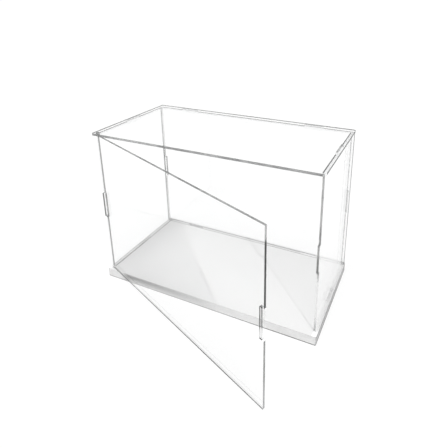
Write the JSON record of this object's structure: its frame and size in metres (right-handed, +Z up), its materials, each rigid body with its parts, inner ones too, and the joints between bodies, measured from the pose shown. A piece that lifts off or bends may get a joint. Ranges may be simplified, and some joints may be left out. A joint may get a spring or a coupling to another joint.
{
  "type": "display case",
  "caption": "Clear flat-pack display case: tab-and-slot sheet panels on a thick white base board, with a full-width hinged front door.",
  "frame": {"origin": "centre of the base board's underside, the face the case rests on", "axes": "+Z up; -Y towards the door side; +X to the right seen from the door side"},
  "size_m": [0.3, 0.2535, 0.212],
  "materials": {
    "white_board": "satin",
    "clear_acrylic": "polished",
    "clear_acrylic_door": "polished"
  },
  "bodies": {
    "case": {"base_board": "white_board", "left_side_panel": "clear_acrylic", "right_side_panel": "clear_acrylic", "back_panel": "clear_acrylic", "top_panel": "clear_acrylic"},
    "door": {"door_panel": "clear_acrylic_door"}
  },
  "joints": [
    {"name": "door_hinge", "type": "hinge", "parent": "case", "child": "door", "pos_m": [-0.144, -0.0695, 0.1105], "axis": [0, 0, -1], "range_deg": [-21.5, 88.5]}
  ]
}
